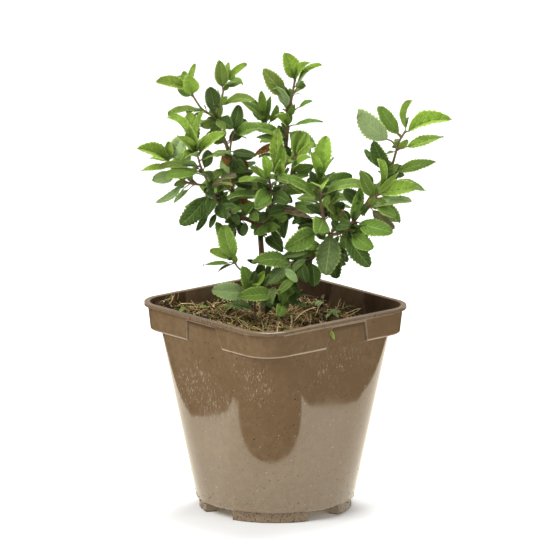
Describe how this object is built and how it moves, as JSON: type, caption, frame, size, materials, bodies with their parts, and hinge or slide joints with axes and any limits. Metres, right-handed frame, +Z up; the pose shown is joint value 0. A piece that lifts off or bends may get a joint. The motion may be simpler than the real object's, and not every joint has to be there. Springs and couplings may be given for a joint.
{
  "type": "potted baby sage",
  "caption": "Young leafy sage plant with small oval scalloped leaves on branching stems, growing in soil in a tapered square-to-round nursery pot.",
  "frame": {"origin": "on the pot's vertical axis, at the underside of its feet", "axes": "+Z up, +X and +Y square to two sides of the pot's rim"},
  "size_m": [0.157, 0.1621, 0.2943],
  "materials": {
    "pot_plastic": "satin, a little dusty",
    "soil": "matt, fibrous peat",
    "foliage": "soft matt leaf with purple-brown stems"
  },
  "bodies": {
    "root": {"pot": "pot_plastic", "soil": "soil", "leafy_stem_main": "foliage", "leafy_stem_right": "foliage", "leafy_stem_low": "foliage"}
  },
  "joints": []
}
